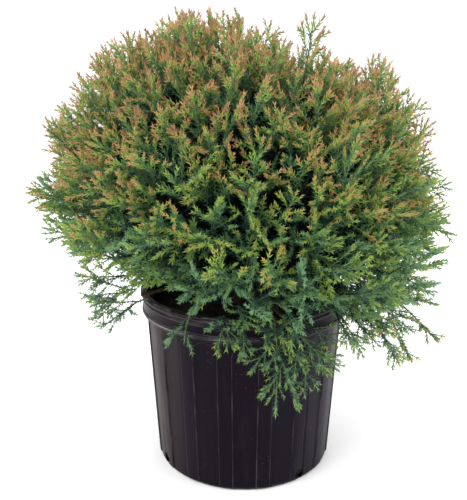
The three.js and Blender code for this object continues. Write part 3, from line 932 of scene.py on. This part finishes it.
skirt_stems = []
for number, (degrees, reach, low, droop, warmth) in enumerate(SKIRT):
    for turn, depth, size in FANS[number]:
        corners = skirt_corners(degrees + turn, reach, low, depth)
        sprays += skirt_sprays(corners, size, 101 + number * 10 + turn, low, droop, warmth)
        skirt_stems.append(corners)
print("sprays with the skirt:", len(sprays))

# %% [markdown]
# ## Needles along the hanging stems
#
# A hanging stem is young and green, so it carries needles too. The class that clothes a shoot follows
# a simple curl, not a Bezier curve, so these few are laid by a short function of their own.

# %% Needles along the hanging stems
def stem_needles(corners, seed):
    """Needles in crossed pairs along one hanging stem."""
    random = Seeded(seed)
    length = np.linalg.norm(corners[3] - corners[0])
    shares = np.arange(0.12, 1, NEEDLE_SPACING / length)
    rows = []
    for pair, share in enumerate(shares):
        foot, ahead = bezier(corners, share), bezier_way(corners, share)
        for half_turn in (0, math.pi):
            turn = pair * math.pi / 2 + half_turn + random(-0.3, 0.3)
            lean = math.radians(NEEDLE_ANGLE + random(-8, 8))
            way = ahead * math.cos(lean) + square_to(ahead, turn)[0] * math.sin(lean)
            rows.append((foot, way, NEEDLE_LENGTH * random(0.8, 1.1), NEEDLE_WIDTH, turn))
    return needles(*[np.array(column) for column in zip(*rows)])


hanging_needles = [stem_needles(corners, 200 + i) for i, corners in enumerate(skirt_stems)]
print("needles on hanging stems:", sum(len(rows) for rows in hanging_needles))

# %% [markdown]
# ## Wood inside the crown
#
# Sprays don't float: each one sits on a twig, twigs on branches, and branches on the stem in the middle
# of a mass. A skin modifier could grow such a tree, but it is slow for so many. Here a stem carries on
# from each bough of the model, a branch leaves it for every small patch of the crown, and each spray
# takes a short twig from the branch that is nearest to it.

# %% Stems, branches and twigs
UPPER_COUNT, UPPER_LIFT, UPPER_TURN, MIDDLE_COUNT, MIDDLE_LIFT = 5, 45, 20, 7, 2
BOUGH_MEETS, STEM_REACH, BRANCHES, BRANCH_REACH, LOWEST_BRANCH = 16, 0.7, 110, 0.62, -0.6


def ring_of_ways(count, lift_degrees, turn_degrees=0):
    lift, turns = math.radians(lift_degrees), [turn_degrees + 360 * i / count for i in range(count)]
    return [bearing(turn) * math.cos(lift) + UP * math.sin(lift) for turn in turns]


upper_ways = ring_of_ways(UPPER_COUNT, UPPER_LIFT, UPPER_TURN)
middle_ways = ring_of_ways(MIDDLE_COUNT, MIDDLE_LIFT)
mass_ways = np.array([UP, *upper_ways, *middle_ways])
wood_rows, green_rows = [], []


def grow_limb(corners, start_radius, end_radius, pieces, rows=wood_rows):
    """A tapering limb of short sticks along a Bezier curve."""
    shares = np.linspace(0, 1, pieces + 1)[:, None]
    points = bezier([np.asarray(c) for c in corners], shares)
    radii = start_radius + (end_radius - start_radius) * shares[:, 0]
    rows.append(sticks(points[:-1], points[1:] + (points[1:] - points[:-1]) * 0.04, radii[:-1], radii[1:]))


def bough_end(way):
    return HEART + way * (hollow_reach(way) - BOUGH_MEETS)


for way in mass_ways:
    start, end = bough_end(way), crown_point(way, STEM_REACH)
    grow_limb([start + (end - start) * share for share in (0, 1 / 3, 2 / 3, 1)], 2.6, 1.3, 3)
for corners in skirt_stems:
    grow_limb(corners, 1.4, 0.7, 7, green_rows)

branch_ways = golden_directions(BRANCHES, LOWEST_BRANCH)
branch_ends = np.array([crown_point(way, BRANCH_REACH) for way in branch_ways])
for way, end in zip(branch_ways, branch_ends):
    mass = mass_ways[np.argmax(mass_ways @ way)]
    start = bough_end(mass) + (crown_point(mass, STEM_REACH) - bough_end(mass)) * 0.3
    reach = np.linalg.norm(end - start)
    if clear_of_pot(end):
        grow_limb((start, start + mass * reach * 0.3, end - way * reach * 0.4, end), 1.9, 1.1, 5)
for spray in sprays:
    if spray["pattern"] == "crown":
        near = branch_ends[np.argmin(np.linalg.norm(branch_ends - spray["root"], axis=1))]
        middle = (near + spray["root"]) / 2
        if clear_of_pot(near):
            grow_limb((near, middle, spray["root"] - spray["way"] * 12, spray["root"]), 1.0, 0.9, 2)
print("sticks of inner wood:", sum(len(rows) for rows in wood_rows))

# %% [markdown]
# ## Colour by spray
#
# The needles inside are a deep blue green, dark as painted shade, and the lower and deeper sprays get
# duller tones as painted shade too. They grow olive towards the tips, and where sun and cold reach them,
# over the upper half, the tips turn bronze and orange. One material could mix all this in its nodes.
# Plain colours are easier to reuse: each needle goes on a heap by how old it is and how its spray has
# fared, and each heap becomes a piece with a colour of its own.

# %% Deal out the colours
TONES = {
    "needle": {
        # dark: painted shade, given to the needles of the inner sprays.
        "dark": (16, 34, 30),
        "teal": (62, 104, 88),
        "leaf": (94, 134, 88),
        "olive": (140, 156, 82),
        "bronze": (172, 140, 90),
    },
    "scale": {
        "sage": (114, 154, 112),
        "green": (108, 140, 76),
        "lime": (144, 168, 84),
        "gold": (170, 158, 90),
        "orange": (188, 148, 102),
        "rust": (162, 120, 88),
    },
    "stick": {"old": (40, 34, 26), "young": (130, 140, 84)},
}
WARM_HEIGHTS, WARM_CHANCE, WARM_END = (280, 545), 60, 0.5
BRONZE_FROM, BRONZE_WARMTH, OLD_STICK = 0.8, 0.5, 0.15
SCALE_STEPS = (-0.3, 0.05, 0.5, 0.8, 1.3)


def placed_rows(shapes, spray):
    """A pattern's shapes, moved to where the spray stands, with its end lifted or sagging."""
    side = square_to(spray["way"], spray["turn"])[0]
    axes = np.stack([side, np.cross(spray["way"], side), spray["way"]])
    along = shapes[..., 2:] / SPRAY_LENGTH
    lift = UP * spray["lift"] * along**2 * SPRAY_LENGTH * spray["scale"]
    return (shapes * spray["scale"]) @ axes + spray["root"] + lift


def needle_tone(marks, spray, warmth, jitter):
    """Old needles are blue green, younger ones olive, and the warmest tips bronze."""
    # The inner sprays' needles all take the dark tone: painted shade deep in the crown.
    if spray["pattern"] == "inner":
        return np.zeros(len(marks), int)
    ripeness = 1.15 + 1.75 * marks + 0.9 * (spray["luck"] - 0.5) - spray["shade"] + jitter
    tone = np.clip(ripeness, 1, 3).astype(int)
    return np.where((tone == 3) & (marks > BRONZE_FROM) & (warmth > BRONZE_WARMTH), 4, tone)


def scale_tone(marks, spray, warmth, jitter):
    """Only the end of a finger warms to bronze, and the rest of it stays green."""
    # Scales of the deeper sprays all take the first, quieter tone: painted shade.
    if spray["depth"] > 0:
        return np.zeros(len(marks), int)
    warming = (0.95 * (marks < WARM_END) + 0.28) * warmth
    value = warming + 0.9 * (spray["luck"] - 0.5) - 0.5 * spray["shade"] + 0.4 * jitter
    return np.searchsorted(SCALE_STEPS, value, side="right")


def stick_tone(marks, spray, warmth, jitter):
    return ((marks > OLD_STICK) & (spray["pattern"] != "inner")).astype(int)


TONE_RULES = {"needle": needle_tone, "scale": scale_tone, "stick": stick_tone}
heaps = {("stick", 0): wood_rows, ("stick", 1): green_rows, ("needle", 1): hanging_needles}
random_rows = np.random.default_rng(5)
for index, spray in enumerate(sprays):
    patterns = PATTERNS[spray["pattern"]]
    pattern = patterns[index % len(patterns)]
    tip = spray["root"] + spray["way"] * SPRAY_LENGTH * spray["scale"]
    warmth = smooth(tip[2] + WARM_CHANCE * (spray["luck"] - 0.5), *WARM_HEIGHTS) + spray["sun"]
    for kind, (shapes, marks) in pattern.items():
        rows = placed_rows(shapes, spray)
        jitter = random_rows.uniform(-0.3, 0.3, len(marks))
        tones = TONE_RULES[kind](marks, spray, warmth, jitter)
        for tone in np.unique(tones):
            heaps.setdefault((kind, int(tone)), []).append(rows[tones == tone])
print({key: sum(len(rows) for rows in heap) for key, heap in sorted(heaps.items())})

# %% [markdown]
# ## From heaps to pieces
#
# A needle could be one object among hundreds of thousands, but that many are slow to handle. A whole
# heap becomes one mesh instead: its corners are listed, and the faces repeat with an offset. A piece is
# kept under two hundred thousand triangles, so a big heap gives several. The colours are written as a
# screen shows them, so each is first turned into the light that it sends back.

# %% Build the foliage pieces
MOST_TRIANGLES = 190_000
ROUGHNESS = {"needle": 0.5, "scale": 0.45, "stick": 0.7}
foliage_nodes = [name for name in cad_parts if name.startswith("foliage")]


def seen(color):
    """A screen colour as the share of light that it sends back."""
    share = np.array(color) / 255
    return tuple(np.where(share > 0.04045, ((share + 0.055) / 1.055) ** 2.4, share / 12.92))


def joined_piece(name, rows, shape_faces):
    """One mesh from many equal small shapes."""
    shapes, corners = rows.shape[:2]
    offsets = (np.arange(shapes) * corners)[:, None, None]
    faces = (shape_faces + offsets).reshape(-1, 3)
    mesh = bpy.data.meshes.new(name)
    mesh.vertices.add(shapes * corners)
    mesh.vertices.foreach_set("co", (rows.reshape(-1) * MM).astype(np.float32))
    mesh.loops.add(faces.size)
    mesh.loops.foreach_set("vertex_index", faces.reshape(-1).astype(np.int32))
    mesh.polygons.add(len(faces))
    mesh.polygons.foreach_set("loop_start", np.arange(0, faces.size, 3, dtype=np.int32))
    mesh.update(calc_edges=True)
    piece = bpy.data.objects.new(name, mesh)
    bpy.context.collection.objects.link(piece)
    return piece


total = 0
for (kind, number), heap in sorted(heaps.items()):
    tone, color = list(TONES[kind].items())[number]
    recipe = Recipe(f"{tone}_{kind}", seen(color), ROUGHNESS[kind], Specular_IOR_Level=0.35)
    rows, shape_faces = np.concatenate(heap), STICK_FACES if kind == "stick" else NEEDLE_FACES
    most = MOST_TRIANGLES // len(shape_faces)
    for part, start in enumerate(range(0, len(rows), most)):
        piece = joined_piece(f"{kind}s_{tone}_{part + 1}", rows[start : start + most], shape_faces)
        dress(piece, recipe.material)
        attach(piece, "root")
        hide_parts(*foliage_nodes)
        "bark" if kind == "stick" else "foliage"
        total += len(piece.data.polygons)
print("foliage faces:", total)

# %% [markdown]
# ## Trunk
#
# A short stem with a flared foot carries it all. A stack of cones would do, but a Bezier curve with a
# round section bends and tapers by itself, and is turned into a mesh when it is done. The stringy bark
# is a fine relief pushed into that mesh.

# %% Limbs with bark
def add_limb(name, corners, radii, cuts=9):
    """A tapering limb along a Bezier span. radii gives the radius at a share of its length."""
    bpy.ops.curve.primitive_bezier_curve_add()
    limb = named(name)
    apply_transform()
    a, b, c, d = [Vector(corner * MM) for corner in corners]
    for point, ends in zip(limb.data.splines[0].bezier_points, ((a, a, b), (c, d, d))):
        point.handle_left_type = point.handle_right_type = "FREE"
        point.handle_left, point.co, point.handle_right = ends
    bpy.ops.object.mode_set(mode="EDIT")
    bpy.ops.curve.select_all(action="SELECT")
    bpy.ops.curve.subdivide(number_cuts=cuts)
    bpy.ops.object.mode_set(mode="OBJECT")
    points = limb.data.splines[0].bezier_points
    for i, point in enumerate(points):
        point.radius = radii(i / (len(points) - 1))
    limb.data.dimensions = "3D"
    limb.data.bevel_depth = MM
    limb.data.bevel_resolution = 5
    limb.data.resolution_u = 6
    limb.data.use_fill_caps = True
    bpy.ops.object.convert(target="MESH")
    return bpy.context.object


def bark():
    recipe = Recipe("stringy_bark", (0.07, 0.045, 0.03), 0.85)
    fibre = recipe.noise(recipe.stretched(recipe.place(), (420, 420, 60)), 1.0, 5, 0.65)
    ridge = recipe.step(fibre, 0.35, 0.7)
    recipe.set("Base Color", recipe.mix(ridge, (0.03, 0.02, 0.014), (0.12, 0.075, 0.048)))
    recipe.bump(fibre, 0.0015)
    return recipe.material


bark_material = bark()
TRUNK_BASE, TRUNK_TIP, TRUNK_FLARE, FLARE_HEIGHT = 11, 4, 5, 14
BOUGH_ROOT, BOUGH_TIP, BOUGH_RISE = 4.2, 2.6, 30
TRUNK_FOOT, TRUNK_TOP = SOIL_TOP + GAP, HEART[2] + HOLLOW_UP - BOUGH_MEETS
TRUNK_RISE, TRUNK_BENDS = TRUNK_TOP - TRUNK_FOOT, ((0, 0, 0), (0, 5, 0.35), (-6, 0, 0.7), (0, 0, 1))
trunk_corners = [np.array((x, y, TRUNK_FOOT + TRUNK_RISE * share)) for x, y, share in TRUNK_BENDS]


def trunk_radius(share):
    flare = TRUNK_FLARE * math.exp(-share * TRUNK_RISE / FLARE_HEIGHT)
    return TRUNK_BASE + (TRUNK_TIP - TRUNK_BASE) * share + flare


def trunk_point(height):
    return bezier(trunk_corners, (height - TRUNK_FOOT) / TRUNK_RISE)


def finish_limb(limb, node, depth):
    """Push the fibres of the bark into a limb, dress it and hand it over."""
    fibres = bpy.data.textures.new("bark_fibres", "WOOD")
    fibres.wood_type = "BANDNOISE"
    fibres.noise_scale = 0.004
    fibres.turbulence = 6
    settings = {"strength": depth * MM, "mid_level": 0.7, "texture_coords": "LOCAL"}
    apply_modifier(limb, "DISPLACE", texture=fibres, **settings)
    bpy.ops.object.shade_smooth_by_angle(angle=math.radians(50))
    dress(limb, bark_material)
    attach(limb, "root")
    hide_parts(node)


trunk = add_limb("trunk_with_bark", trunk_corners, trunk_radius, 15)
finish_limb(trunk, "trunk", 1.6)
print("trunk has", len(trunk.data.polygons), "faces")

# %% [markdown]
# ## Boughs
#
# A bough rises out of the trunk, bends, and points the way that its mass of foliage begins. All twenty
# are the same kind of limb, so a loop makes them. Where each leaves the trunk is staggered, because no
# plant puts its limbs out at one height.

# %% Boughs
LEAVES_TRUNK = {"skirt": 222, "middle": 272, "upper": 330}
LEAVES_STEP = 5.5


def bough_corners(leaves_at, end, heading):
    start = trunk_point(leaves_at)
    reach = np.linalg.norm(end - start)
    lifted = start + (end - start) * 0.35
    lifted[2] = start[2] + BOUGH_RISE
    return [start, lifted, end - heading * 0.35 * reach, end]


def bough_radius(share):
    return BOUGH_ROOT + (BOUGH_TIP - BOUGH_ROOT) * share


boughs = {}
for ring, ways in (("upper", upper_ways), ("middle", middle_ways)):
    for i, way in enumerate(ways):
        leaves_at = LEAVES_TRUNK[ring] + LEAVES_STEP * ((i * 3) % len(ways))
        boughs[f"bough_{ring}_{i + 1}"] = bough_corners(leaves_at, bough_end(way), way)
for i, (degrees, reach, low, *_) in enumerate(SKIRT):
    corners = skirt_corners(degrees, reach, low)
    heading = unit(corners[1] - corners[0])
    leaves_at = LEAVES_TRUNK["skirt"] + LEAVES_STEP * ((i * 3) % len(SKIRT))
    boughs[f"bough_skirt_{i + 1}"] = bough_corners(leaves_at, corners[0], heading)

for node, corners in boughs.items():
    finish_limb(add_limb(f"{node}_with_bark", corners, bough_radius), node, 0.8)
print("boughs made:", len(boughs))
